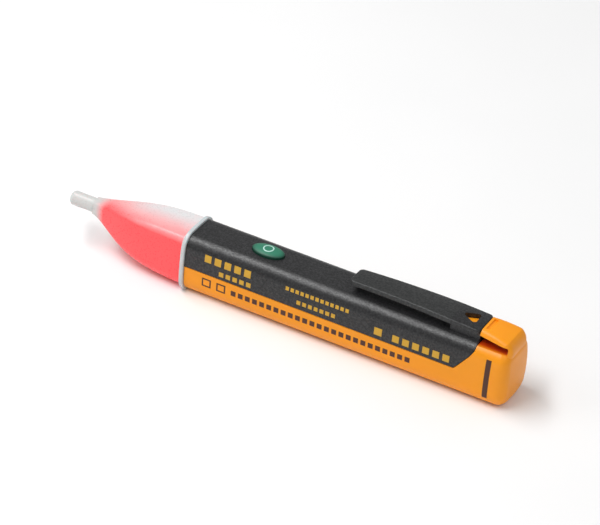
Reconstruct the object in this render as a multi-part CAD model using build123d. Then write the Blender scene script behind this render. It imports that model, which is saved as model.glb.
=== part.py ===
from build123d import *
import os

# Non-contact voltage tester: a pen-shaped instrument with a glowing translucent nose, a dark upper
# shell with a pocket clip, a push button, and an orange cover that slides off backwards to reach
# two AAA cells. Millimetres. The tester lies on its flat underside: +X towards the tail, +Z up.
# Stations are distances from the front of the probe tip, measured along the tester.

# ---------------------------------------------------------------- overall
length = 149.3
body_height = 18.85        # underside to the crown of the shell
body_widest = 16.7         # across the sides
widest_z = 7.5             # height of the widest line
side_radius = 65.0         # the sides bulge this gently
crown_radius = 77.0        # and the top more gently still
foot_radius = 4.8
shoulder_radius = 4.0
wall = 1.5
fit_gap = 0.15             # between parts that slide or drop into each other

# ---------------------------------------------------------------- shell and cover
flange_start = 42.6        # the nose's collar, which the body butts against
flange_thickness = 1.3
tail_length = 11.3         # of the cover behind the shell
corner_low_back = 5.4      # the shell's lower edge turns up this far ahead of its rear edge
corner_mid_back = 1.1
corner_mid_drop = 3.85     # below the crown
corner_top_drop = 1.85     # above this the shell's rear edge is upright
corner_radius = 1.2
split_z = 9.55             # line between the shell and the cover
seam_gap = 0.2
end_wall = 2.0
end_radius = 3.1
end_bulge = 0.7            # how far the tail's end face swells at its middle

body_start = flange_start + flange_thickness
shell_end = length - tail_length
corner_low = shell_end - corner_low_back
corner_mid = shell_end - corner_mid_back
corner_mid_z = body_height - corner_mid_drop
corner_top_z = body_height - corner_top_drop

# ---------------------------------------------------------------- nose
stub_radius = 2.25
stub_length = 8.2
stub_rise = 3.275          # stub's axis above the middle of the body
stub_end_radius = 1.3
nose_wall = 1.3
nose_inset = 0.5           # nose skin below the body skin, at the flange
nose_shoulder = 2.3        # crisper shoulder than the body's
flange_proud = 0.75
flange_edge = 0.35
spigot_length = 3.0
spigot_wall = 1.1
# Sections from the flange to the stub: share of the nose's length, share of the full section, and
# the height of the section's centre above the middle of the body.
nose_sections = [
    (0.00, 1.000, 0.075),
    (0.25, 0.972, 0.125),
    (0.50, 0.852, 0.375),
    (0.73, 0.603, 1.295),
    (0.90, 0.358, 2.655),
    (1.00, 0.262, 3.195),
]

stub_z = body_height / 2 + stub_rise

# ---------------------------------------------------------------- clip and its root on the shell
clip_length = 42.5         # from the free end to the shell's rear edge
clip_root_length = 9.4     # of that, what stands on the shell
clip_rise = 4.35           # top of the arch above the crown
clip_arch = 0.6            # the arch falls this much to its two ends
clip_thickness = 1.9
clip_tip_thickness = 1.6
clip_tip_width = 7.4
clip_root_width = 9.6
clip_crown = 0.45          # how far its top swells between its long edges
clip_tip_corner = 1.4
clip_root_corner = 1.4
clip_ridge_height = 0.9    # the grip under the clip's free end
clip_ridge_length = 2.4
clip_edge = 0.35
root_block_inset = 0.5     # the block under the plate is this much narrower on each side
hole_length = 5.6          # triangular release hole
hole_width = 5.4
hole_back = 2.7            # its base ahead of the shell's rear edge
hole_corner = 0.9

clip_start = shell_end - clip_length
clip_root = shell_end - clip_root_length
clip_top = body_height + clip_rise
hole_end = shell_end - hole_back

# ---------------------------------------------------------------- release latch and rear pad
pad_width_front = 9.8
pad_width_rear = 12.4
pad_step = 0.05            # front of the pad below the end of the clip's arch
pad_drop = 1.05            # from there to where it turns down
pad_turn_back = 2.3        # ahead of the tail's end
pad_shoulder = 2.0
slot_front_gap = 2.2       # under the pad, above the crown
slot_rear_gap = 1.45
slot_sink = 0.7            # the slot's floor below the crown
slot_back = 1.8            # the slot's blind end ahead of the tail's end
slot_radius = 0.8
hinge_lip = 0.9            # of the cover over the slot, which the latch bends from
latch_gap = 0.2            # between the latch and the shell's rear edge
plate_gap = 1.65           # between the crown and the underside of the clip's root plate
pocket_depth = 0.7         # sunk into the crown under the catch, so that it can move down
arm_width = 6.0            # forward arm that carries the catch
arm_thickness = 0.8
arm_gap = 0.2              # over the arm
arm_lead = 0.2             # the arm runs this far past the hole's tip
pocket_side_gap = 0.3
pocket_front_gap = 0.5
neck_length = 2.4
catch_rise = 1.0
catch_gap = 0.15
nail_groove_radius = 0.7
nail_groove_depth = 0.55
nail_groove_width = 5.6
nail_groove_back = 1.6     # behind the shell's rear edge

pad_front_z = clip_top - clip_arch - pad_step
pad_rear_z = pad_front_z - pad_drop
pad_turn = length - pad_turn_back
slot_end = length - slot_back
slot_front_top = body_height + slot_front_gap
slot_rear_top = body_height + slot_rear_gap
latch_hinge = slot_end - hinge_lip
root_plate_bottom = body_height + plate_gap
pocket_floor = body_height - pocket_depth
arm_top = root_plate_bottom - arm_gap
arm_bottom = arm_top - arm_thickness
arm_front = hole_end - hole_length - arm_lead
pocket_front = arm_front - pocket_front_gap
pocket_width = arm_width + 2 * pocket_side_gap
nail_groove_station = shell_end + nail_groove_back

# ---------------------------------------------------------------- cover guides
lip_inset = 0.85
lip_height = 0.9
lip_root = 1.2             # how far the lip reaches down inside the cover
lip_end_gap = 1.5
rail_drop = 1.05           # below the split
rail_height = 0.8
rail_depth = 0.55
rail_end_gap = 3.0
guide_gap = 0.15

rail_z = split_z - rail_drop

# ---------------------------------------------------------------- AAA cells and the tray that holds them
cell_radius = 5.25
cell_jacket = 0.2
cell_can_length = 43.7
nub_length = 0.8
nub_radius = 1.9
cell_floor_gap = 0.35
channel_gap = 0.2
tray_clearance = 0.25
tray_front_gap = 0.3       # behind the nose's spigot
tray_rear_gap = 3.1        # ahead of the cover's end wall
tray_skirt = 2.5           # the tray reaches this far below the cells' axis
tray_roof = 0.55
tray_wall = 1.8
contact_thickness = 0.4
contact_width = 7.0
contact_above = 3.0        # contact plates, above and below the cells' axis
contact_below = 2.6
contact_neck_width = 2.0
spring_wire = 0.5
spring_turns = 3
spring_radius = 3.2
spring_cone = 12           # degrees
strip_width = 2.4
strip_thickness = 0.3
strip_lap = 3.0            # soldered length on the board

cell_axis_z = wall + cell_floor_gap + cell_radius
tray_start = body_start + spigot_length + tray_front_gap
tray_end = length - end_wall - tray_rear_gap
tray_bottom = cell_axis_z - tray_skirt
tray_top = cell_axis_z + cell_radius + channel_gap + tray_roof
cells_start = tray_start + tray_wall + contact_thickness
cells_end = cells_start + 2 * (nub_length + cell_can_length)
rear_contact = tray_end - tray_wall - contact_thickness

# ---------------------------------------------------------------- circuit board and what is on it
board_front_gap = 0.2      # behind the nose's spigot
board_length = 79.9
board_width = 11.8
board_thickness = 1.0
screw_stations = (56.0, 110.0)
screw_offset = 4.3
screw_radius = 0.7
screw_length = 2.0
screw_head_radius = 1.25
screw_head_height = 0.8
screw_hole_gap = 0.15
pilot_gap = 0.05
led_radius = 1.5
led_length = 4.6
led_rim_radius = 1.75
led_rim_thickness = 0.8
led_back_gap = 2.5         # ahead of the board
led_drop = 0.5             # its axis below the board's top
leg_size = 0.5
leg_pitch = 2.54
leg_lap = 2.9
rod_radius = 0.9
rod_front = 2.6
rod_back_gap = 7.6         # ahead of the flange
rod_gap = 0.05
lead_radius = 0.35
lead_side = 3.9            # the lead passes beside the lamp
sounder_station = 96.0
sounder_radius = 4.5
sounder_height = 2.5
sounder_wall = 0.6
disc_radius = 3.4
disc_thickness = 0.3
disc_drop = 0.9
sound_hole_radius = 0.9
chip_station = 79.0

board_start = body_start + spigot_length + board_front_gap
board_end = board_start + board_length
board_top = tray_top + board_thickness
led_back = board_start - led_back_gap
led_z = board_top - led_drop
leg_reach = board_start + leg_lap
rod_back = flange_start - rod_back_gap

# ---------------------------------------------------------------- button and switch
button_station = 67.0
button_length = 10.4
button_width = 6.0
button_proud = 0.45        # straight side above the crown, before the dome begins
button_dome = 0.9
button_rim = 0.85
button_rim_thickness = 0.7
button_rim_gap = 0.15      # under the shell's roof
button_gap = 0.15
switch_size = 6.0
switch_base_height = 1.6
switch_plate_thickness = 0.2
stem_radius = 1.3
stem_gap = 0.1
stem_lift = 1.25           # stem's foot above the board
dome_well_radius = 2.3
dome_well_floor = 0.65
dome_rise = 0.5
dome_sheet = 0.1

button_wall_top = body_height + button_proud
button_rim_top = body_height - wall - button_rim_gap
stem_top = button_rim_top - button_rim_thickness
stem_bottom = board_top + stem_lift
dome_floor = board_top + dome_well_floor


def at(station):
    """X of a station: the part's origin is under the middle of its length."""
    return station - length / 2


def outline(inset=0.0, shoulder=shoulder_radius):
    """Cross-section of the body in the YZ plane, drawn `inset` inside the outer skin.

    Two bulging sides, a slightly crowned top and a flat underside, with rounded corners. Every
    inset is built from the same circles with smaller radii, so that walls come out even.
    """
    side = Circle(side_radius - inset)
    reach = body_widest / 2 - side_radius
    face = (Pos(reach, widest_z) * side) & (Pos(-reach, widest_z) * side)
    face &= Pos(0, body_height - crown_radius) * Circle(crown_radius - inset)
    face &= Pos(0, inset) * Rectangle(2 * body_widest, 2 * body_height, align=(Align.CENTER, Align.MIN))
    face = fillet(face.vertices().group_by(Axis.Y)[0], foot_radius - inset)
    return fillet(face.vertices().group_by(Axis.Y)[-1], shoulder - inset)


def prism(inset, start, end, shoulder=shoulder_radius):
    """The body's section, `inset` inside its skin, swept from one station to another."""
    face = Plane.YZ.offset(at(start)) * outline(inset, shoulder)
    return extrude(face, amount=end - start)


def block(start, end, width, bottom, top, y=0.0):
    """A box given by its stations, its width about `y` and its two heights."""
    size = Box(end - start, width, top - bottom, align=(Align.MIN, Align.CENTER, Align.MIN))
    return Pos(at(start), y, bottom) * size


def rod(radius, start, end, z, y=0.0):
    """A round bar along X."""
    bar = Cylinder(radius, end - start, align=(Align.CENTER, Align.CENTER, Align.MIN))
    return Pos(at(start), y, z) * Rot(0, 90, 0) * bar


def post(radius, station, bottom, top, y=0.0):
    """A round bar along Z."""
    bar = Cylinder(radius, top - bottom, align=(Align.CENTER, Align.CENTER, Align.MIN))
    return Pos(at(station), y, bottom) * bar


def side_profile(edges, width):
    """A closed outline in stations and heights, given as edges, swept across the tester."""
    face = Plane.XZ * make_face(edges)
    return extrude(face, amount=width / 2, both=True)


def station_point(station, z):
    return (at(station), z)


# ---------------------------------------------------------------- regions shared by several parts
def shell_region(grow):
    """Everything above the seam and ahead of the shell's rear edge, grown by `grow`."""
    top = clip_top + 2
    points = [
        station_point(body_start - 1, split_z - grow),
        station_point(corner_low + grow * 0.6, split_z - grow),
        station_point(corner_mid + grow, corner_mid_z),
        station_point(shell_end + grow, corner_top_z),
        station_point(shell_end + grow, top),
        station_point(body_start - 1, top),
    ]
    face = make_face(Polyline(*points, close=True))
    low_turn = [v for v in face.vertices() if abs(v.Y - (split_z - grow)) < 0.01 and v.X > at(body_start)]
    face = fillet(low_turn, corner_radius)
    mid_turn = [v for v in face.vertices() if abs(v.Y - corner_mid_z) < 0.01]
    face = fillet(mid_turn, corner_radius)
    return extrude(Plane.XZ * face, amount=body_widest, both=True)


def clip_bar():
    """The arched bar that is the clip and, behind its root, the plate over the catch's pocket.

    It tapers in plan and thins towards its free end. Its top is part of a large torus, so that
    it arches along its length and is slightly crowned across its width.
    """
    half_length = (shell_end - clip_start) / 2
    middle = clip_start + half_length
    arch_radius = (half_length ** 2 + clip_arch ** 2) / (2 * clip_arch)
    crown_radius = ((clip_root_width / 2) ** 2 + clip_crown ** 2) / (2 * clip_crown)
    top = Torus(arch_radius - crown_radius, crown_radius)
    top = Pos(at(middle), 0, clip_top - arch_radius) * Rot(90, 0, 0) * top

    end_z = clip_top - clip_arch
    tip_under = station_point(clip_start, end_z - clip_tip_thickness)
    middle_under = station_point(middle, clip_top - (clip_thickness + clip_tip_thickness) / 2)
    root_under = station_point(shell_end, end_z - clip_thickness)
    bar = side_profile([
        ThreePointArc(tip_under, middle_under, root_under),
        Line(root_under, station_point(shell_end, clip_top + 1)),
        Line(station_point(shell_end, clip_top + 1), station_point(clip_start, clip_top + 1)),
        Line(station_point(clip_start, clip_top + 1), tip_under),
    ], clip_root_width + 2)

    tip, root = clip_tip_width / 2, clip_root_width / 2
    plan = make_face(Polyline((at(clip_start), -tip), (at(clip_root), -root), (at(shell_end), -root),
                              (at(shell_end), root), (at(clip_root), root), (at(clip_start), tip),
                              close=True))
    plan = fillet(plan.vertices().group_by(Axis.X)[0], clip_tip_corner)
    plan = fillet(plan.vertices().group_by(Axis.X)[-1], clip_root_corner)
    bar = bar & extrude(plan, amount=clip_top + 5) & top
    return fillet(bar.faces().sort_by(Axis.Z)[-1].edges(), clip_edge)


def triangle_hole(grow=0.0):
    """Release hole through the root plate: a rounded triangle that points at the nose."""
    tip = at(hole_end - hole_length)
    face = make_face(Polyline((tip, 0), (at(hole_end), -hole_width / 2), (at(hole_end), hole_width / 2),
                              close=True))
    face = fillet(face.vertices(), hole_corner)
    if grow:
        face = offset(face, amount=grow)
    return face


def side_slot(bottom):
    """Slot that runs across under the pad, from the shell's rear edge to its rounded blind end."""
    front = shell_end - 0.5
    slot = make_face(Polyline(station_point(front, bottom), station_point(slot_end, bottom),
                              station_point(slot_end, slot_rear_top),
                              station_point(front, slot_front_top), close=True))
    slot = fillet(slot.vertices().sort_by(Axis.X)[2:], slot_radius)
    return extrude(Plane.XZ * slot, amount=body_widest, both=True)


def rear_pad():
    """Raised pad behind the clip: level with it in front and rounded down to the tail at the rear."""
    front = shell_end + latch_gap
    buried = body_height - shoulder_radius - 1
    tail_low = station_point(length - end_bulge, body_height - 2)
    middle = (front + pad_turn) / 2
    pad = side_profile([
        Line(station_point(front, buried), station_point(front, pad_front_z)),
        ThreePointArc(station_point(front, pad_front_z), station_point(middle, pad_front_z - pad_drop / 4),
                      station_point(pad_turn, pad_rear_z)),
        ThreePointArc(station_point(pad_turn, pad_rear_z),
                      station_point(length - pad_turn_back / 2, pad_rear_z - 1.4), tail_low),
        Line(tail_low, station_point(length - 1.5, buried)),
        Line(station_point(length - 1.5, buried), station_point(front, buried)),
    ], pad_width_rear + 2)
    f, r = pad_width_front / 2, pad_width_rear / 2
    plan = make_face(Polyline((at(front), -f), (at(length), -r), (at(length), r), (at(front), f),
                              close=True))
    pad &= extrude(plan, amount=clip_top + 5)
    long_edges = [e for e in pad.edges() if e.center().Z > body_height and abs(e.center().Y) > 3
                  and e.bounding_box().size.X > 0.5]
    pad = fillet(long_edges, pad_shoulder)
    return pad - side_slot(buried - 1)


# ---------------------------------------------------------------- nose
def nose_skin(inset):
    """Loft through smaller and smaller copies of the body's section, from the flange to the stub."""
    sections = []
    for along, share, rise in nose_sections:
        station = flange_start + along * (stub_length - flange_start)
        size = share - inset / (body_widest / 2)
        face = scale(outline(nose_inset, nose_shoulder), by=size)
        face = Pos(0, (1 - size) * body_height / 2 + rise, 0) * face
        sections.append(Plane.YZ.offset(at(station)) * face)
    return loft(sections)


def nose_lens():
    skin = nose_skin(0)
    stub = rod(stub_radius, 0, stub_length, stub_z)
    stub = fillet(stub.edges().group_by(Axis.X)[0], stub_end_radius)
    lens = skin + stub
    ring = prism(-flange_proud, flange_start, body_start)
    ring = fillet(ring.edges().group_by(Axis.X)[0] + ring.edges().group_by(Axis.X)[-1], flange_edge)
    ring &= block(flange_start, body_start, 2 * body_widest, 0, 2 * body_height)
    spigot = prism(wall + fit_gap, flange_start, body_start + spigot_length)
    lens = lens + ring + spigot
    lens -= nose_skin(nose_wall)
    lens -= prism(wall + fit_gap + spigot_wall, flange_start - 0.01, body_start + spigot_length)
    lens -= rod(rod_radius + rod_gap, rod_front - 0.1, stub_length + 4, stub_z)
    return lens


# ---------------------------------------------------------------- shell, clip, cover, latch
def upper_shell():
    body = prism(0, body_start, shell_end) & shell_region(0)
    body -= prism(wall, body_start, shell_end)
    rebate = prism(lip_inset - guide_gap, body_start, shell_end) & block(
        body_start, shell_end, body_widest, 0, split_z + lip_height + guide_gap)
    body -= rebate
    root_width = clip_root_width - 2 * root_block_inset
    root = block(clip_root, shell_end, root_width, body_height - wall / 2, root_plate_bottom + 0.6)
    plate = clip_bar() & block(clip_root, shell_end, clip_root_width, root_plate_bottom, clip_top + 1)
    body = body + root + plate
    body -= block(pocket_front, shell_end, pocket_width, pocket_floor, root_plate_bottom)
    body -= extrude(Pos(0, 0, pocket_floor) * triangle_hole(), amount=clip_top)
    hole = Ellipse(button_length / 2 + button_gap, button_width / 2 + button_gap)
    body -= extrude(Pos(at(button_station), 0, body_height / 2) * hole, amount=body_height)
    return body


def pocket_clip():
    arm = clip_bar() & block(clip_start - 1, clip_root, clip_root_width, 0, clip_top + 1)
    ridge_x = clip_start + 0.4 + clip_ridge_length / 2
    bottom = clip_top - clip_arch - clip_tip_thickness
    ridge = Pos(at(ridge_x), 0, bottom) * Rot(90, 0, 0) * Cylinder(clip_ridge_length / 2,
                                                                  clip_tip_width - 2.6)
    ridge &= block(clip_start, clip_start + 5, clip_tip_width, bottom - clip_ridge_height, bottom + 0.6)
    return arm + ridge


def power_button():
    half_l, half_w = button_length / 2, button_width / 2
    bottom = button_rim_top - button_rim_thickness
    stem = extrude(Pos(at(button_station), 0, bottom) * Ellipse(half_l, half_w),
                   amount=button_wall_top - bottom)
    dome = scale(Sphere(1), by=(half_l, half_w, button_dome))
    dome = Pos(at(button_station), 0, button_wall_top) * dome
    rim = extrude(Pos(at(button_station), 0, bottom) * Ellipse(half_l + button_rim, half_w + button_rim),
                  amount=button_rim_thickness)
    return stem + dome + rim


def lower_cover():
    front = body_start + fit_gap
    swell_radius = (body_height ** 2 / 4 + end_bulge ** 2) / (2 * end_bulge)
    swell = Pos(at(length - swell_radius), 0, body_height / 2) * Sphere(swell_radius)
    body = prism(0, front, length) & swell
    body = fillet(body.faces().sort_by(Axis.X)[-1].edges(), end_radius)
    pad = rear_pad()
    behind = block(latch_hinge, length + 1, 2 * body_widest, 0, clip_top + 1)
    body = body - side_slot(body_height - slot_sink) + (pad & behind)
    body -= prism(wall, front - 1, length - end_wall)
    body -= shell_region(seam_gap)
    lip_end = corner_low - lip_end_gap
    lip = prism(lip_inset, front, lip_end) - prism(wall, front, lip_end)
    lip &= block(front, lip_end, body_widest, split_z - lip_root, split_z + lip_height)
    body = body + lip
    first, last = tray_start + 1, length - end_wall - rail_end_gap
    rails = prism(wall - 0.1, first, last) - prism(wall + rail_depth, first, last)
    rails &= block(first, last, body_widest, rail_z, rail_z + rail_height)
    return body + rails


def release_latch():
    ahead = block(shell_end, latch_hinge, 2 * body_widest, 0, clip_top + 1)
    latch = rear_pad() & ahead
    front = shell_end + latch_gap
    neck = block(front, front + neck_length, arm_width, arm_bottom, slot_front_top + 0.5)
    arm = block(arm_front, front + 0.5, arm_width, arm_bottom, arm_top)
    catch = extrude(Pos(0, 0, arm_top - 0.3) * triangle_hole(-catch_gap), amount=catch_rise + 0.3)
    groove = Pos(at(nail_groove_station), 0, pad_front_z - nail_groove_depth + nail_groove_radius)
    groove = groove * Rot(90, 0, 0) * Cylinder(nail_groove_radius, nail_groove_width)
    return latch + neck + arm + catch - groove


# ---------------------------------------------------------------- tray, cells and contacts
def battery_tray():
    tray = prism(wall + tray_clearance, tray_start, tray_end)
    tray &= block(tray_start, tray_end, body_widest, tray_bottom, tray_top)
    channel_start, channel_end = tray_start + tray_wall, tray_end - tray_wall
    tray -= rod(cell_radius + channel_gap, channel_start, channel_end, cell_axis_z)
    groove = prism(0, tray_start, tray_end) - prism(
        wall + rail_depth + guide_gap, tray_start, tray_end)
    groove &= block(tray_start, tray_end, body_widest, rail_z - guide_gap, rail_z + rail_height + guide_gap)
    tray -= groove
    for start, width in ((channel_start, contact_neck_width), (rear_contact, strip_width)):
        tray -= block(start, start + contact_thickness, width + 2 * guide_gap, cell_axis_z, tray_top)
    for station, side in zip(screw_stations, (1, -1)):
        tray -= post(screw_radius + pilot_gap, station, tray_top - screw_length - 0.2, tray_top,
                     side * screw_offset)
    return tray


def cell(start):
    """Steel can with its positive nub towards the nose."""
    end = start + nub_length + cell_can_length
    can = rod(cell_radius - cell_jacket, start + nub_length, end, cell_axis_z)
    return can + rod(nub_radius, start, start + nub_length, cell_axis_z)


def cell_sleeve(start):
    """Printed jacket round a can, short of both of its ends."""
    first, last = start + nub_length + 0.5, start + nub_length + cell_can_length - 0.4
    tube = rod(cell_radius, first, last, cell_axis_z)
    return tube - rod(cell_radius - cell_jacket, first, last, cell_axis_z)


def front_contact():
    start = tray_start + tray_wall
    plate = block(start, start + contact_thickness, contact_width, cell_axis_z - contact_below,
                  cell_axis_z + contact_above)
    neck = block(start, start + contact_thickness, contact_neck_width, cell_axis_z, board_top + 0.5)
    return plate + neck


def rear_contact_strip():
    """Plate behind the spring, a strip along the tray's roof, and a tab soldered to the board."""
    plate = block(rear_contact, rear_contact + contact_thickness, contact_width,
                  cell_axis_z - contact_below, cell_axis_z + contact_above)
    neck = block(rear_contact, rear_contact + contact_thickness, strip_width, cell_axis_z,
                 tray_top + strip_thickness)
    riser_start = board_end + guide_gap
    strip = block(riser_start, rear_contact + contact_thickness, strip_width, tray_top,
                  tray_top + strip_thickness)
    riser = block(riser_start, riser_start + strip_thickness, strip_width, tray_top,
                  board_top + strip_thickness)
    tab = block(board_end - strip_lap, riser_start + strip_thickness, strip_width, board_top,
                board_top + strip_thickness)
    return plate + neck + strip + riser + tab


def cell_spring():
    """Conical wire spring between the rear cell and its contact plate."""
    gap = rear_contact - cells_end
    height = gap - spring_wire
    path = Helix(pitch=height / spring_turns, height=height, radius=spring_radius, cone_angle=-spring_cone)
    start = path @ 0
    section = Plane(origin=start, z_dir=path % 0) * Circle(spring_wire / 2)
    wire = sweep(section, path=path, is_frenet=True)
    return Pos(at(rear_contact - spring_wire / 2), 0, cell_axis_z) * Rot(0, -90, 0) * wire


# ---------------------------------------------------------------- board and components
def circuit_board():
    board = block(board_start, board_end, board_width, tray_top, board_top)
    board -= block(tray_start + tray_wall, tray_start + tray_wall + contact_thickness,
                   contact_neck_width + 2 * guide_gap, tray_top, board_top)
    for station, side in zip(screw_stations, (1, -1)):
        board -= post(screw_radius + screw_hole_gap, station, tray_top, board_top, side * screw_offset)
    return board


def board_screws():
    screws = []
    for station, side in zip(screw_stations, (1, -1)):
        y = side * screw_offset
        shank = post(screw_radius, station, tray_top - screw_length, board_top + 0.1, y)
        head = post(screw_head_radius, station, board_top, board_top + screw_head_height, y)
        head = fillet(head.edges().group_by(Axis.Z)[-1], 0.35)
        slot = Box(screw_head_radius * 1.5, 0.35, 0.8)
        cross = slot + Rot(0, 0, 90) * slot
        screws.append(shank + head - Pos(at(station), y, board_top + screw_head_height) * cross)
    return Compound(children=screws)


def warning_led():
    front = led_back - led_length
    barrel = rod(led_radius, front + led_radius, led_back, led_z)
    nose = Pos(at(front + led_radius), 0, led_z) * Sphere(led_radius)
    rim = rod(led_rim_radius, led_back - led_rim_thickness, led_back, led_z)
    return barrel + nose + rim


def led_legs():
    return Compound(children=[
        block(led_back, leg_reach, leg_size, board_top, board_top + leg_size, y=side * leg_pitch / 2)
        for side in (-1, 1)])


def sensing_lead():
    """Insulated lead from the sensing rod, past the lamp, to the board."""
    high = board_top + 0.9
    path = FilletPolyline((at(rod_back), 0, stub_z), (at(rod_back + 2.4), 0, stub_z),
                          (at(board_start - 4.6), lead_side, high), (at(board_start), lead_side, high),
                          (at(board_start + 3.0), lead_side, board_top + lead_radius), radius=1.2)
    section = Plane(origin=path @ 0, z_dir=path % 0) * Circle(lead_radius)
    return sweep(section, path=path)


def sounder_case():
    case = post(sounder_radius, sounder_station, board_top, board_top + sounder_height)
    case = fillet(case.edges().group_by(Axis.Z)[-1], 0.4)
    case -= post(sounder_radius - sounder_wall, sounder_station, board_top,
                 board_top + sounder_height - sounder_wall)
    return case - post(sound_hole_radius, sounder_station, board_top, board_top + sounder_height)


def sounder_disc():
    z = board_top + sounder_height - sounder_wall - disc_drop
    ring = post(sounder_radius - sounder_wall, sounder_station, board_top, z)
    ring -= post(disc_radius - 0.4, sounder_station, board_top, z)
    return ring + post(sounder_radius - sounder_wall, sounder_station, z, z + disc_thickness)


def small_part(station, y, long, wide, tall):
    return block(station - long / 2, station + long / 2, wide, board_top, board_top + tall, y=y)


def control_chip():
    body = small_part(chip_station, 0, 5.0, 3.9, 1.4)
    body = chamfer(body.edges().group_by(Axis.Z)[-1], 0.2)
    pins = [small_part(chip_station + (i - 1.5) * 1.27, side * 2.45, 0.42, 1.1, 0.35)
            for i in range(4) for side in (-1, 1)]
    for pin in pins:
        body += pin
    return body


def resistors():
    spots = [(54.0, -3.0), (60.5, -3.4), (60.5, 3.2), (74.2, 3.6), (74.2, -3.6), (86.0, 3.4), (86.0, -3.4),
             (104.5, 2.2)]
    return Compound(children=[small_part(s, y, 1.6, 0.8, 0.45) for s, y in spots])


def capacitors():
    spots = [(54.0, 0.6), (88.6, 0.0), (104.5, -2.2), (114.5, 3.0)]
    return Compound(children=[small_part(s, y, 2.0, 1.25, 1.1) for s, y in spots])


def transistors():
    spots = [(57.5, 0.4), (108.0, 0.8)]
    return Compound(children=[small_part(s, y, 2.9, 1.3, 1.0) for s, y in spots])


def switch_base():
    base = small_part(button_station, 0, switch_size, switch_size, switch_base_height)
    return base - post(dome_well_radius, button_station, dome_floor, board_top + switch_base_height)


def switch_plate():
    z = board_top + switch_base_height
    plate = block(button_station - switch_size / 2, button_station + switch_size / 2, switch_size,
                  z, z + switch_plate_thickness)
    return plate - post(stem_radius + stem_gap, button_station, z, z + switch_plate_thickness)


def switch_stem():
    return post(stem_radius, button_station, stem_bottom, stem_top)


def switch_dome():
    """Sprung steel dome under the stem: a shallow cap of a sphere."""
    span = dome_well_radius - 0.15
    radius = (span ** 2 + dome_rise ** 2) / (2 * dome_rise)
    centre = Pos(at(button_station), 0, dome_floor + dome_rise - radius)
    cap = centre * Sphere(radius) - centre * Sphere(radius - dome_sheet)
    return cap & post(span + 1, button_station, dome_floor, stem_bottom)


def sensing_rod():
    bar = rod(rod_radius, rod_front, rod_back, stub_z)
    return fillet(bar.edges().group_by(Axis.X)[0], 0.4)


def cell_pad():
    """Foam strip stuck inside the cover, which the cells rest on."""
    return block(cells_start + 8, cells_end - 8, 3.0, wall, wall + cell_floor_gap - 0.05)


PARTS = {
    "nose_lens": nose_lens,
    "upper_shell": upper_shell,
    "pocket_clip": pocket_clip,
    "power_button": power_button,
    "lower_cover": lower_cover,
    "release_latch": release_latch,
    "battery_tray": battery_tray,
    "front_cell": lambda: cell(cells_start),
    "rear_cell": lambda: cell(cells_start + nub_length + cell_can_length),
    "front_cell_sleeve": lambda: cell_sleeve(cells_start),
    "rear_cell_sleeve": lambda: cell_sleeve(cells_start + nub_length + cell_can_length),
    "front_contact": front_contact,
    "rear_contact_strip": rear_contact_strip,
    "cell_spring": cell_spring,
    "cell_pad": cell_pad,
    "circuit_board": circuit_board,
    "board_screws": board_screws,
    "control_chip": control_chip,
    "resistors": resistors,
    "capacitors": capacitors,
    "transistors": transistors,
    "warning_led": warning_led,
    "led_legs": led_legs,
    "sensing_rod": sensing_rod,
    "sensing_lead": sensing_lead,
    "sounder_case": sounder_case,
    "sounder_disc": sounder_disc,
    "switch_base": switch_base,
    "switch_plate": switch_plate,
    "switch_stem": switch_stem,
    "switch_dome": switch_dome,
}

os.makedirs("parts", exist_ok=True)
for name, make in PARTS.items():
    export_step(make(), f"parts/{name}.step")
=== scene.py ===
# %% [markdown]
# # A non-contact voltage tester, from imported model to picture
#
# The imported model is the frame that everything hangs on: every shell, cell and screw is already in
# its true place, in metres, with +X towards the tail and +Z up. This notebook gives those parts
# their finishes, adds the printed marks, and builds a small studio around them.

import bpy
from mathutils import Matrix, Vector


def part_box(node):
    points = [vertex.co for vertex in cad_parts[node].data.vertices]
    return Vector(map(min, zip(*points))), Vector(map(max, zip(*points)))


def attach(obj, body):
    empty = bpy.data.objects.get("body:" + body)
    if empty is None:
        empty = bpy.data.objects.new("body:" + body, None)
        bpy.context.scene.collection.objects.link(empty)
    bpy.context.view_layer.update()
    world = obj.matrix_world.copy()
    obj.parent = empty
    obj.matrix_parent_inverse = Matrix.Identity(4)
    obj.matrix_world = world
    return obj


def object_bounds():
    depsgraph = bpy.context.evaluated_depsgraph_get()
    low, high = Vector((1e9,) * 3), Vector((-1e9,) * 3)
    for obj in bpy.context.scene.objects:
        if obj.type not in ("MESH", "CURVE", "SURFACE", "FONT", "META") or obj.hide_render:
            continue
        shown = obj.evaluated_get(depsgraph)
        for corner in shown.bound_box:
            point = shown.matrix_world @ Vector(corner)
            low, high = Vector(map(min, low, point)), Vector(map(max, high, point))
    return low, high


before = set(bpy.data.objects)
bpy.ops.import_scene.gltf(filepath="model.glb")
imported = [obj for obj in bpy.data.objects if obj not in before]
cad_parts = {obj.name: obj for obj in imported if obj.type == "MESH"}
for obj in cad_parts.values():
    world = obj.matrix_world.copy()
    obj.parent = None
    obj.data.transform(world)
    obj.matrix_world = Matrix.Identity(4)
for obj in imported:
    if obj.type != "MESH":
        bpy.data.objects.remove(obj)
cad_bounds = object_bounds()

# %% Libraries and units
import math

import bmesh
import bpy
from mathutils import Matrix, Vector
from mathutils.bvhtree import BVHTree

MM = 0.001
TIP_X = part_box("nose_lens")[0].x


def along(station_mm):
    """X of a point that far behind the tip of the nose."""
    return TIP_X + station_mm * MM


print("the tip is at x =", round(TIP_X / MM, 2), "mm")

# %% [markdown]
# ## Camera
#
# A long lens from a metre away keeps the tester's edges nearly parallel, as in a catalogue picture.
# The camera sits 34 degrees up and looks a little from the tail's side. It is built from three
# directions: where it looks from, what is right and what is up. Rolling it by five degrees lets the
# tester lie across the picture.

# %% Camera
AZIMUTH, ELEVATION, ROLL = (math.radians(a) for a in (26.157, 34.240, 4.967))
LENS_MM = 205.8
DISTANCE = 1.0
PAN = (2.83 * MM, 6.88 * MM)

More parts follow.
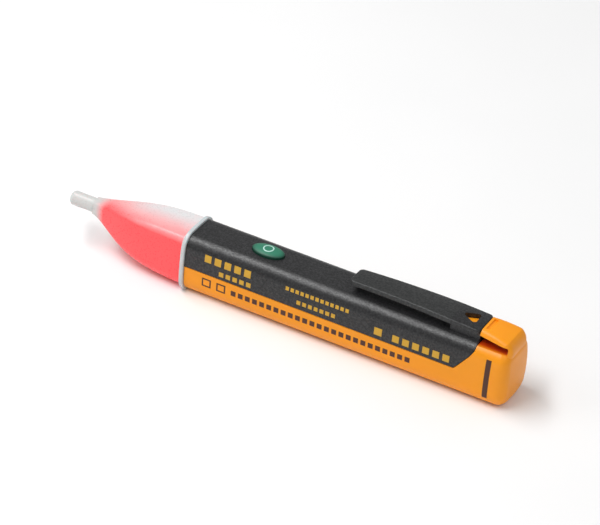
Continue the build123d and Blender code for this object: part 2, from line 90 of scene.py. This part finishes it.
level_right = Vector((math.cos(AZIMUTH), math.sin(AZIMUTH), 0))
towards_camera = Vector((math.sin(AZIMUTH) * math.cos(ELEVATION),
                         -math.cos(AZIMUTH) * math.cos(ELEVATION), math.sin(ELEVATION)))
level_up = towards_camera.cross(level_right)
camera_right = level_right * math.cos(ROLL) + level_up * math.sin(ROLL)
camera_up = level_up * math.cos(ROLL) - level_right * math.sin(ROLL)

camera = bpy.data.objects.new("camera", bpy.data.cameras.new("camera"))
bpy.context.scene.collection.objects.link(camera)
aim = Vector((along(75.0), 0, 10 * MM))
place = aim + towards_camera * DISTANCE + camera_right * PAN[0] + camera_up * PAN[1]
turn = Matrix((camera_right, camera_up, towards_camera)).transposed().to_4x4()
camera.matrix_world = Matrix.Translation(place) @ turn
camera.data.lens = LENS_MM
camera.data.sensor_width = 36
camera.data.clip_end = 20
bpy.context.scene.camera = camera
print("camera at", [round(c, 3) for c in place])

# %% [markdown]
# ## Writing shaders as expressions
#
# A shader is a graph of nodes, and graphs built by hand are hard to read. Here a number inside the
# graph is wrapped in a small class, so that `0.4 + 0.2 * grain` adds the Math nodes by itself.
# Colours and vectors never pass through Math nodes, which would turn them grey: they are mixed.

# %% A number in a shader
class Number:
    """An output socket that carries one value, with arithmetic on it."""

    def __init__(self, finish, socket):
        self.finish, self.socket = finish, socket

    def math(self, operation, first, second):
        return self.finish.node("ShaderNodeMath", {"operation": operation}, {0: first, 1: second})

    def __add__(self, other):
        return self.math("ADD", self, other)

    __radd__ = __add__

    def __sub__(self, other):
        return self.math("SUBTRACT", self, other)

    def __rsub__(self, other):
        return self.math("SUBTRACT", other, self)

    def __mul__(self, other):
        return self.math("MULTIPLY", self, other)

    __rmul__ = __mul__

    def __truediv__(self, other):
        return self.math("DIVIDE", self, other)

    def __rtruediv__(self, other):
        return self.math("DIVIDE", other, self)

    def __abs__(self):
        return self.math("ABSOLUTE", self, 0)

    def least(self, other):
        return self.math("MINIMUM", self, other)

    def most(self, other):
        return self.math("MAXIMUM", self, other)

    def step(self, low, high):
        """0 below low, 1 above high, and a smooth climb between them."""
        return self.finish.node("ShaderNodeMapRange", {"interpolation_type": "SMOOTHSTEP"},
                                {"Value": self, "From Min": low, "From Max": high})


# %% A material and its nodes
class Finish:
    """One material: makes nodes, and sets the sockets of its main shader."""

    def __init__(self, name):
        self.material = bpy.data.materials.new(name)
        self.material.use_nodes = True
        self.tree = self.material.node_tree
        self.shader = next(n for n in self.tree.nodes if n.type == "BSDF_PRINCIPLED")

    def plug(self, socket, value):
        if isinstance(value, Number):
            value = value.socket
        if isinstance(value, bpy.types.NodeSocket):
            self.tree.links.new(value, socket)
        else:
            socket.default_value = value

    def node(self, kind, settings=None, inputs=None, output=0, number=True):
        """Adds a node. Settings come first; a list of (place, colour) sets a ramp's stops."""
        node = self.tree.nodes.new(kind)
        for key, value in (settings or {}).items():
            if key == "stops":
                ramp = node.color_ramp
                while len(ramp.elements) < len(value):
                    ramp.elements.new(0.5)
                for element, (position, colour) in zip(ramp.elements, value):
                    element.position, element.color = position, (*colour, 1)
            else:
                setattr(node, key, value)
        for key, value in (inputs or {}).items():
            self.plug(node.inputs[key], value)
        socket = node.outputs[output]
        return Number(self, socket) if number else socket

    def place_mm(self):
        """Where a point of the part is, in millimetres, as a vector socket."""
        spot = self.node("ShaderNodeTexCoord", output="Object", number=False)
        return self.node("ShaderNodeVectorMath", {"operation": "SCALE"}, {0: spot, "Scale": 1 / MM},
                         number=False)

    def split(self, vector):
        """The three numbers of a vector."""
        node = self.tree.nodes.new("ShaderNodeSeparateXYZ")
        self.plug(node.inputs[0], vector)
        return [Number(self, out) for out in node.outputs]

    def noise(self, size_mm, detail=2.0, roughness=0.5, stretch=None):
        """Smooth random values from about 0.3 to 0.7, in lumps of the given size."""
        where = self.place_mm()
        if stretch:
            where = self.node("ShaderNodeVectorMath", {"operation": "MULTIPLY"}, {0: where, 1: stretch},
                              number=False)
        return self.node("ShaderNodeTexNoise", None, {"Vector": where, "Scale": 1 / size_mm,
                                                      "Detail": detail, "Roughness": roughness})

    def blend(self, share, first, second):
        """A colour between two colours."""
        return self.node("ShaderNodeMix", {"data_type": "RGBA"},
                         {0: share, 6: (*first, 1) if isinstance(first, tuple) else first,
                          7: (*second, 1) if isinstance(second, tuple) else second},
                         output=2, number=False)

    def bump(self, height, depth_mm, strength=1.0, under=None):
        """A relief that is depth_mm from the lowest to the highest point of `height`."""
        inputs = {"Height": height, "Distance": depth_mm * MM, "Strength": strength}
        if under is not None:
            inputs["Normal"] = under
        return self.node("ShaderNodeBump", None, inputs, number=False)

    def set(self, **sockets):
        for name, value in sockets.items():
            socket = self.shader.inputs[name.replace("_", " ")]
            if socket.type == "RGBA" and isinstance(value, tuple):
                value = (*value, 1)
            self.plug(socket, value)
        return self.material


def paint(material, *nodes):
    """Puts a material on CAD nodes."""
    for name in nodes:
        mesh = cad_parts[name].data
        mesh.materials.clear()
        mesh.materials.append(material)


print("shader helpers ready")

# %% [markdown]
# ## Moulded shell plastic
#
# The upper shell and the pocket clip are black ABS from a spark-eroded mould. Such a mould leaves
# a fine grain, a third of a millimetre across, that breaks the highlight on the round shoulder into
# sparkles. Two layers of noise make it: coarse grain in the bump, and finer specks in the roughness.

# %% Shell plastic
GRAIN_MM = 0.6


def moulded_black(name, tint, gloss):
    finish = Finish(name)
    grain = finish.noise(GRAIN_MM, detail=3, roughness=0.6)
    speck = finish.noise(GRAIN_MM / 3, detail=1)
    cloud = finish.noise(14, detail=2)
    shade = ((grain - 0.5) * 1.6 + (cloud - 0.5) * 0.8 + 0.5).least(1).most(0)
    dark = tuple(channel * 0.72 for channel in tint)
    light = tuple(channel * 1.35 for channel in tint)
    return finish.set(
        Base_Color=finish.blend(shade, dark, light),
        Roughness=(gloss + (speck - 0.5) * 0.35).least(0.8).most(0.2),
        Specular_IOR_Level=0.36,
        Coat_Weight=((grain - 0.5) * 4 + 0.4).least(1).most(0) * 0.5,
        Coat_Roughness=0.32,
        Normal=finish.bump(grain + speck * 0.3, 0.10, strength=0.7))


shell_black = moulded_black("moulded_shell_black", (0.016, 0.016, 0.017), 0.34)
clip_black = moulded_black("moulded_clip_black", (0.020, 0.021, 0.021), 0.38)
paint(shell_black, "upper_shell")
paint(clip_black, "pocket_clip")
print("black plastic: grain", GRAIN_MM, "mm")

# %% [markdown]
# ## Orange cover plastic
#
# The battery cover and its latch are glossier, bright orange ABS. It is nearly even in colour, with
# faint flow marks and a light satin texture. Thin orange plastic glows a little from within, which
# a small amount of subsurface light gives. Deep inside the slot under the latch, the orange turns to
# a deep red that is painted shade.

# %% Orange plastic
ORANGE = (0.93, 0.325, 0.008)


# Deep red painted shade for the inside of the slot under the latch.
SLOT_SHADE_RED = (0.52, 0.028, 0.002)


def moulded_orange(name, painted_shade_share=None):
    """The last argument takes the finish and gives the share of the surface that lies deep in the slot,
    where deep red painted shade is laid over the orange.
    """
    finish = Finish(name)
    flow = finish.noise(9, detail=2, stretch=(0.35, 1, 1))
    grain = finish.noise(0.4, detail=2)
    shade = ((flow - 0.5) * 1.2 + 0.5).least(1).most(0)
    colour = finish.blend(shade, tuple(c * 0.90 for c in ORANGE), tuple(c * 1.06 for c in ORANGE))
    return finish.set(
        # Painted shade: deep red laid over the orange deep in the slot.
        Base_Color=finish.blend(painted_shade_share(finish), colour, SLOT_SHADE_RED),
        Roughness=0.36 + (grain - 0.5) * 0.2,
        Specular_IOR_Level=0.3,
        Subsurface_Weight=0.06,
        Subsurface_Radius=(0.0016, 0.0006, 0.0002),
        Normal=finish.bump(grain, 0.02, strength=0.35))


latch_low, latch_high = (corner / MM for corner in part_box("release_latch"))
pad_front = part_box("upper_shell")[1].x / MM + 0.35
crown = 18.85
roof_front, roof_slope = 21.05, 0.078


def painted_shade_slot_floor(finish):
    """Painted shade: the share of the cover's surface, cut down under the latch, that is painted deep red.
    """
    x, y, z = finish.split(finish.place_mm())
    inward = 1 - abs(y).step(4.4, 6.6)
    return z.step(crown - 0.80, crown - 0.68) * (1 - z.step(20.2, 20.5)) * (1 - x.step(72.6, 72.9)) * inward


def painted_shade_slot_roof(finish):
    """Painted shade: the share of the latch's underside, which slopes down towards the tail, that is painted
    deep red.
    """
    x, y, z = finish.split(finish.place_mm())
    under = z + (x - pad_front) * roof_slope - roof_front
    return (1 - under.step(-0.10, 0.02)) * x.step(pad_front, pad_front + 0.3)


# Both pieces get the deep red painted shade inside the slot.
paint(moulded_orange("orange_cover_plastic", painted_shade_slot_floor), "lower_cover")
paint(moulded_orange("orange_latch_plastic", painted_shade_slot_roof), "release_latch")
print("orange:", ORANGE)

# %% [markdown]
# ## Frosted nose
#
# The nose is a light guide: frosted, milky plastic with a red lamp behind its shoulder. Seen from
# the side it glows pink, while its flat top and its thin tip stay a pale grey. True light
# transport through a closed solid is slow and noisy, so the glow is painted by place: a share that
# is 1 low on the sides, fades across the top, and stops short of the tip and of the grey flange.

# %% Nose plastic
PALE = (0.72, 0.705, 0.71)
SMOKE = (0.60, 0.585, 0.57)
RIM = (0.55, 0.59, 0.60)
ROSE = (0.93, 0.092, 0.100)


def frosted_nose():
    finish = Finish("frosted_nose_plastic")
    x, y, z = finish.split(finish.place_mm())
    station = x - TIP_X / MM
    length = station.step(9.0, 14.0) * (1 - station.step(42.0, 42.8))
    over = (1 - y.step(-6.5, 4.5)) * 0.60
    under = 1 - z.step(13.8, 18.4)
    cloud = finish.noise(5.5, detail=2)
    glow = (length * (over + under * 0.75 + (cloud - 0.5) * 0.2)).least(1).most(0)
    thick = station.step(6.0, 20.0)
    rim = station.step(42.3, 42.9)
    clear = finish.blend(rim, finish.blend(thick, SMOKE, PALE), RIM)
    frost = finish.noise(0.5, detail=2)
    return finish.set(
        Base_Color=finish.blend(glow, clear, ROSE),
        Roughness=0.30 + (frost - 0.5) * 0.25,
        Specular_IOR_Level=0.4,
        Subsurface_Weight=0.25,
        Subsurface_Radius=(0.003, 0.0008, 0.0008),
        Emission_Color=finish.blend(glow, (0, 0, 0), (0.95, 0.03, 0.035)),
        Emission_Strength=0.10,
        Normal=finish.bump(frost, 0.02, strength=0.4))


paint(frosted_nose(), "nose_lens")
print("nose: pale", PALE, "smoke", SMOKE, "rim", RIM, "rose", ROSE)

# %% [markdown]
# ## Rubber button
#
# The button is moulded silicone rubber: matt and green. Its crown is painted lighter as painted light,
# and its rim is painted darker down to where it enters the shell, as painted shade.

# %% Button rubber
button_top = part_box("power_button")[1].z / MM


def button_rubber():
    finish = Finish("green_button_rubber")
    x, y, z = finish.split(finish.place_mm())
    # Painted light on the crown and painted shade down the rim: dark low on the rim, light at the top.
    crown = z.step(button_top - 0.85, button_top - 0.15)
    grain = finish.noise(0.25, detail=2)
    return finish.set(
        Base_Color=finish.blend(crown, (0.003, 0.050, 0.030), (0.024, 0.195, 0.115)),
        Roughness=0.46 + (grain - 0.5) * 0.2,
        Specular_IOR_Level=0.45,
        Normal=finish.bump(grain, 0.015, strength=0.35))


paint(button_rubber(), "power_button")
print("button crown at z =", round(button_top, 2), "mm")

# %% [markdown]
# ## Metals
#
# Each metal inside is plain at a glance and differs in its fine surface. Nickel-plated spring
# strip and steel cans are brushed one way, brass is a little stained, and tinned legs are
# dull. One function makes them all from a colour, a roughness and the direction of the brushing.

# %% Metals


def metal(name, colour, gloss, brushed=(1, 1, 1), stain=0.15, grain_mm=0.3):
    finish = Finish(name)
    scratch = finish.noise(grain_mm, detail=3, roughness=0.7, stretch=brushed)
    cloud = finish.noise(4, detail=3)
    tarnish = ((cloud - 0.5) * 2.2 + 0.5).least(1).most(0)
    return finish.set(
        Base_Color=finish.blend(tarnish, tuple(c * (1 - stain) for c in colour), colour),
        Metallic=1.0,
        Roughness=(gloss + (scratch - 0.5) * 0.45 + (tarnish - 0.5) * -0.08).least(0.9).most(0.08),
        Normal=finish.bump(scratch, 0.008, strength=0.4))


paint(metal("spring_contact_metal", (0.72, 0.70, 0.66), 0.28, (0.1, 1, 1)),
      "front_contact", "rear_contact_strip", "cell_spring", "switch_dome")
paint(metal("cell_can_steel", (0.78, 0.77, 0.75), 0.24, (1, 0.12, 0.12)), "front_cell", "rear_cell")
paint(metal("screw_steel", (0.55, 0.55, 0.56), 0.34, stain=0.3, grain_mm=0.2), "board_screws")
paint(metal("tinned_metal", (0.76, 0.76, 0.78), 0.38, (0.2, 1, 1), stain=0.2), "led_legs", "switch_plate")
paint(metal("drawn_brass", (0.80, 0.56, 0.24), 0.26, (0.1, 1, 1), stain=0.3), "sensing_rod", "sounder_disc")
print("five metals made")

# %% [markdown]
# ## Inner plastics and parts
#
# The tray, the small black parts and the lead's jacket are plain mouldings. They still carry
# a mould's grain and slight clouding, so one function makes them with their own colour and grain.

# %% Inner plastics


def moulding(name, colour, gloss, grain_mm=0.4, depth_mm=0.02, clouding=0.12):
    finish = Finish(name)
    grain = finish.noise(grain_mm, detail=3, roughness=0.6)
    cloud = finish.noise(7, detail=2)
    shade = ((cloud - 0.5) * 1.6 + (grain - 0.5) * 0.5 + 0.5).least(1).most(0)
    return finish.set(
        Base_Color=finish.blend(shade, tuple(c * (1 - clouding) for c in colour),
                                tuple(min(1, c * (1 + clouding)) for c in colour)),
        Roughness=(gloss + (grain - 0.5) * 0.3).least(0.95).most(0.1),
        Normal=finish.bump(grain, depth_mm, strength=0.5))


paint(moulding("tray_plastic", (0.045, 0.046, 0.048), 0.55), "battery_tray")
paint(moulding("chip_epoxy", (0.018, 0.018, 0.019), 0.62, grain_mm=0.15), "control_chip", "transistors")
paint(moulding("resistor_body", (0.030, 0.028, 0.028), 0.45, grain_mm=0.12), "resistors")
paint(moulding("capacitor_ceramic", (0.46, 0.30, 0.16), 0.40, grain_mm=0.12), "capacitors")
paint(moulding("sounder_plastic", (0.020, 0.020, 0.021), 0.40), "sounder_case")
paint(moulding("switch_plastic", (0.022, 0.022, 0.024), 0.36, grain_mm=0.2), "switch_base", "switch_stem")
paint(moulding("lead_jacket", (0.55, 0.03, 0.02), 0.42, grain_mm=0.3), "sensing_lead")
paint(moulding("foam_pad", (0.10, 0.10, 0.105), 0.92, grain_mm=0.5, depth_mm=0.15, clouding=0.3), "cell_pad")
print("inner mouldings made")

# %% [markdown]
# ## Cells, board and lamp
#
# Each cell wears a printed jacket: dark for most of its length with a copper-coloured band at the
# positive end, and no print. The board is green solder mask over copper tracks, drawn as a
# grid of raised lines. The lamp is clear red epoxy, glossy and slightly glowing.

# %% Cell jackets
jacket_ends = [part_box(name) for name in ("front_cell_sleeve", "rear_cell_sleeve")]
BAND_MM = 11.0


def cell_jacket(name, start_mm):
    finish = Finish("printed_jacket_" + name)
    x, y, z = finish.split(finish.place_mm())
    band = 1 - x.step(start_mm + BAND_MM, start_mm + BAND_MM + 0.3)
    scuff = finish.noise(1.2, detail=4, roughness=0.7, stretch=(0.3, 1, 1))
    return finish.set(
        Base_Color=finish.blend(band, (0.020, 0.022, 0.026), (0.62, 0.26, 0.08)),
        Metallic=band * 0.7,
        Roughness=(0.30 + (scuff - 0.5) * 0.4).most(0.12),
        Coat_Weight=0.4,
        Normal=finish.bump(scuff, 0.01, strength=0.3))


for name, (low, high) in zip(("front_cell_sleeve", "rear_cell_sleeve"), jacket_ends):
    paint(cell_jacket(name, low.x / MM), name)
print("cell jackets from x =", [round(low.x / MM, 1) for low, high in jacket_ends], "mm")

# %% Circuit board
TRACK_PITCH_MM = 1.27


def board_laminate():
    finish = Finish("green_board")
    x, y, z = finish.split(finish.place_mm())
    wander = finish.noise(6, detail=1)
    lane = abs((y + wander * 2.4) * (2 / TRACK_PITCH_MM))
    wave = finish.node("ShaderNodeMath", {"operation": "PINGPONG"}, {0: lane, 1: 1.0})
    track = wave.step(0.45, 0.6)
    weave = finish.noise(0.35, detail=2)
    return finish.set(
        Base_Color=finish.blend(track, (0.006, 0.085, 0.030), (0.015, 0.165, 0.055)),
        Roughness=0.30 + (weave - 0.5) * 0.2,
        Coat_Weight=0.3,
        Normal=finish.bump(track * 0.8 + weave * 0.2, 0.035, strength=0.6))


paint(board_laminate(), "circuit_board")
print("board tracks every", TRACK_PITCH_MM, "mm")

# %% Red lamp


def lamp_epoxy():
    finish = Finish("red_lamp_epoxy")
    haze = finish.noise(0.8, detail=2)
    return finish.set(
        Base_Color=finish.blend(haze, (0.70, 0.012, 0.010), (0.90, 0.035, 0.025)),
        Roughness=0.12 + haze * 0.1,
        Coat_Weight=0.5,
        Emission_Color=(0.9, 0.02, 0.01),
        Emission_Strength=0.3)


paint(lamp_epoxy(), "warning_led")
print("lamp made")

# %% [markdown]
# ## Pad-printed marks
#
# The real tester has words printed on its side. Here plain blocks stand in for them, in the same
# places and colours, so the surface keeps its bands of print without any lettering. A print is a film of ink
# that follows the surface. Each mark is a flat outline in the side view, cut into thin
# bands, and every point is dropped straight onto the plastic along +Y. The film is then
# given a thickness that stands 0.06 mm proud.

# %% Finding the surface
CLEAR_MM = 0.015
FILM_MM = 0.035


def surface_of(name):
    """A tree that rays can be cast on, for a CAD part at rest."""
    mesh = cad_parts[name].data
    grid = bmesh.new()
    grid.from_mesh(mesh)
    tree = BVHTree.FromBMesh(grid)
    grid.free()
    return tree


def side_point(tree, x, z):
    """The outer surface at that place of the near side, and the way it faces."""
    spot, normal, index, gap = tree.ray_cast(Vector((x, -0.03, z)), Vector((0, 1, 0)))
    return spot, normal


def top_point(tree, x, y):
    """The surface at that place of the top, and the way it faces."""
    spot, normal, index, gap = tree.ray_cast(Vector((x, y, 0.04)), Vector((0, 0, -1)))
    return spot, normal


trees = {name: surface_of(name) for name in ("upper_shell", "lower_cover", "power_button")}
print("surfaces ready:", sorted(trees))

# %% Laying a film of ink on a surface
BAND_STEP_MM = 0.3


def film(grid, place, corners):
    """Adds one patch of ink: a four-cornered area in flat coordinates, laid on by `place`.

    corners are (u, v) in millimetres, in order round the patch.
    """
    lengths = [math.dist(corners[i], corners[(i + 1) % 4]) for i in range(4)]
    across = max(1, round(max(lengths[0], lengths[2]) / BAND_STEP_MM))
    upward = max(1, round(max(lengths[1], lengths[3]) / BAND_STEP_MM))
    a, b, c, d = (Vector(corner) for corner in corners)
    rows = {"base": [], "top": []}
    for j in range(upward + 1):
        left, right = a.lerp(d, j / upward), b.lerp(c, j / upward)
        low, high = [], []
        for i in range(across + 1):
            spot, normal = place(*left.lerp(right, i / across))
            low.append(grid.verts.new(spot + normal * CLEAR_MM * MM))
            high.append(grid.verts.new(spot + normal * (CLEAR_MM + FILM_MM) * MM))
        rows["base"].append(low)
        rows["top"].append(high)
    base, top = rows["base"], rows["top"]
    for j in range(upward):
        for i in range(across):
            grid.faces.new((top[j][i], top[j][i + 1], top[j + 1][i + 1], top[j + 1][i]))
            grid.faces.new((base[j][i], base[j + 1][i], base[j + 1][i + 1], base[j][i + 1]))
    rim = ([(0, i) for i in range(across)] + [(j, across) for j in range(upward)]
           + [(upward, i) for i in range(across, 0, -1)] + [(j, 0) for j in range(upward, 0, -1)])
    for k, (j, i) in enumerate(rim):
        n, m = rim[(k + 1) % len(rim)]
        grid.faces.new((base[j][i], base[n][m], top[n][m], top[j][i]))


def print_piece(name, place, patches, material, body):
    """One piece of print, from many four-cornered patches."""
    grid = bmesh.new()
    for corners in patches:
        film(grid, place, corners)
    bmesh.ops.recalc_face_normals(grid, faces=grid.faces)
    mesh = bpy.data.meshes.new(name)
    grid.to_mesh(mesh)
    grid.free()
    mesh.materials.append(material)
    piece = bpy.data.objects.new(name, mesh)
    bpy.context.scene.collection.objects.link(piece)
    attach(piece, body)
    print(name, "patches:", len(patches), "faces:", len(mesh.polygons))
    return piece


# %% Inks


def ink(name, colour, gloss=0.5):
    finish = Finish(name)
    wear = finish.noise(0.25, detail=3, roughness=0.7)
    shade = ((wear - 0.5) * 1.6 + 0.5).least(1).most(0)
    return finish.set(
        Base_Color=finish.blend(shade, tuple(c * 0.78 for c in colour), colour),
        Roughness=gloss + (wear - 0.5) * 0.2,
        Normal=finish.bump(wear, 0.01, strength=0.3))


mustard_ink = ink("mustard_ink", (0.68, 0.376, 0.021))
brown_ink = ink("dark_brown_ink", (0.070, 0.017, 0.004))
mint_ink = ink("mint_ink", (0.52, 0.80, 0.72), 0.45)
print("three inks")

# %% [markdown]
# ## Where the marks go
#
# Marks on the side are given as a distance behind the tip and a height. A row of even blocks takes
# the place of a line of words. How many blocks it has follows from its height, not from any word.
# Plain squares and one plain bar take the place of the symbols and of the column at the tail.

# %% Rows of blocks
PITCH_PER_HEIGHT = 1.4


def box_patch(left, right, low, high):
    return [(left, low), (right, low), (right, high), (left, high)]


def row(left, right, low, high):
    """Even blocks from left to right. Their number comes from the height alone."""
    count = round((right - left) / (PITCH_PER_HEIGHT * (high - low)))
    pitch = (right - left) / count
    return [box_patch(left + k * pitch, left + (k + 0.66) * pitch, low, high) for k in range(count)]


def hollow(outline, stroke):
    """The sides of a closed outline as strips, mitred at the corners."""
    centre = Vector((sum(p[0] for p in outline), sum(p[1] for p in outline))) / len(outline)
    spread = min((Vector(p) - centre).length for p in outline)
    inner = [tuple(centre + (Vector(p) - centre) * (1 - stroke / spread)) for p in outline]
    count = len(outline)
    return [[outline[i], outline[(i + 1) % count], inner[(i + 1) % count], inner[i]]
            for i in range(count)]


print("a row 10 mm long and 1 mm high:", len(row(0, 10, 0, 1)), "blocks")

# %% Marks on the shell


def on_shell(station, z):
    return side_point(trees["upper_shell"], along(station), z * MM)


shell_marks = (row(50.5, 67.0, 13.6, 15.9) + row(55.6, 67.0, 10.5, 12.0)
               + row(77.5, 98.8, 14.3, 15.5) + row(81.5, 94.8, 11.0, 12.3)
               + [box_patch(106.9, 109.4, 10.8, 13.2)] + row(112.8, 132.2, 10.6, 12.8))
print_piece("shell_print", on_shell, shell_marks, mustard_ink, "instrument")

# %% Marks on the cover


def on_cover(station, z):
    return side_point(trees["lower_cover"], along(station), z * MM)


cover_marks = (hollow(box_patch(50.2, 53.2, 5.2, 8.0), 0.6) + hollow(box_patch(55.1, 58.1, 5.2, 8.0), 0.6)
               + row(60.0, 119.8, 5.5, 7.2) + [box_patch(142.3, 143.9, 3.3, 16.1)])
print_piece("cover_print", on_cover, cover_marks, brown_ink, "cover")

# %% [markdown]
# ## The button's ring
#
# A plain ring of pale ink sits on the crown of the button. The ring is
# a strip bent into a circle, in many short patches, and each is laid on the rubber from above.

# %% Ring on the button
RING_RADIUS_MM = 1.68
RING_STROKE_MM = 0.40
RING_STATION = 67.0
RING_PARTS = 36


def on_button(u, v):
    return top_point(trees["power_button"], along(RING_STATION) + u * MM, v * MM)


def ring_patch(index):
    inner = RING_RADIUS_MM - RING_STROKE_MM
    start, end = (2 * math.pi * k / RING_PARTS for k in (index, index + 1))
    return [(inner * math.cos(start), inner * math.sin(start)),
            (RING_RADIUS_MM * math.cos(start), RING_RADIUS_MM * math.sin(start)),
            (RING_RADIUS_MM * math.cos(end), RING_RADIUS_MM * math.sin(end)),
            (inner * math.cos(end), inner * math.sin(end))]


ring_marks = [ring_patch(k) for k in range(RING_PARTS)]
print_piece("button_ring", on_button, ring_marks, mint_ink, "button")

# %% [markdown]
# ## Floor and light
#
# The tester lies on a plain white floor. A large softbox overhead, a little to the near side,
# draws the long soft highlight on the shoulder. A smaller lamp from the upper left gives the
# shadow side its shape, and the tail end stays darker.

# %% Floor


def floor_paint():
    finish = Finish("white_floor")
    mottle = finish.noise(60, detail=2)
    return finish.set(Base_Color=finish.blend(mottle, (0.90, 0.90, 0.90), (0.93, 0.93, 0.93)),
                      Roughness=0.7 + (mottle - 0.5) * 0.1)


FLOOR_SIZE = 4.0
sheet = bmesh.new()
bmesh.ops.create_grid(sheet, x_segments=8, y_segments=8, size=FLOOR_SIZE / 2)
floor_mesh = bpy.data.meshes.new("floor")
sheet.to_mesh(floor_mesh)
sheet.free()
floor_mesh.materials.append(floor_paint())
floor = bpy.data.objects.new("floor", floor_mesh)
bpy.context.scene.collection.objects.link(floor)
floor.location.z = cad_bounds[0][2]
print("floor at z =", round(cad_bounds[0][2] / MM, 2), "mm")

# %% Lights


def softbox(name, place, target, size, watts, colour=(1, 1, 1)):
    data = bpy.data.lights.new(name, "AREA")
    data.shape = "RECTANGLE"
    data.size, data.size_y = size
    data.energy = watts
    data.color = colour
    lamp = bpy.data.objects.new(name, data)
    bpy.context.scene.collection.objects.link(lamp)
    lamp.location = place
    lamp.rotation_euler = (Vector(target) - Vector(place)).to_track_quat("-Z", "Y").to_euler()
    return lamp


middle = Vector((along(75), 0, 10 * MM))
shoulder_facing = Vector((0, -0.54, 0.84)).normalized()
glint = shoulder_facing * (2 * shoulder_facing.dot(towards_camera)) - towards_camera
softbox("shoulder_strip", middle + glint * 0.85, middle, (0.9, 0.17), 5.6)
softbox("key_left", middle + Vector((-0.75, -0.45, 0.55)), middle, (0.5, 0.5), 1.2)
softbox("tail_fill", middle + Vector((0.55, -0.25, 0.70)), middle, (0.5, 0.5), 1.0)
world = bpy.data.worlds.new("studio")
bpy.context.scene.world = world
world.use_nodes = True
background = world.node_tree.nodes["Background"]
background.inputs["Color"].default_value = (1, 1, 1, 1)
background.inputs["Strength"].default_value = 0.42
bpy.context.scene.view_settings.view_transform = "Standard"

# %% [markdown]
# ## Size
#
# The box of the imported model is written down.

# %% Size and finish
print("cad box   ", [[round(c / MM, 2) for c in corner] for corner in cad_bounds])
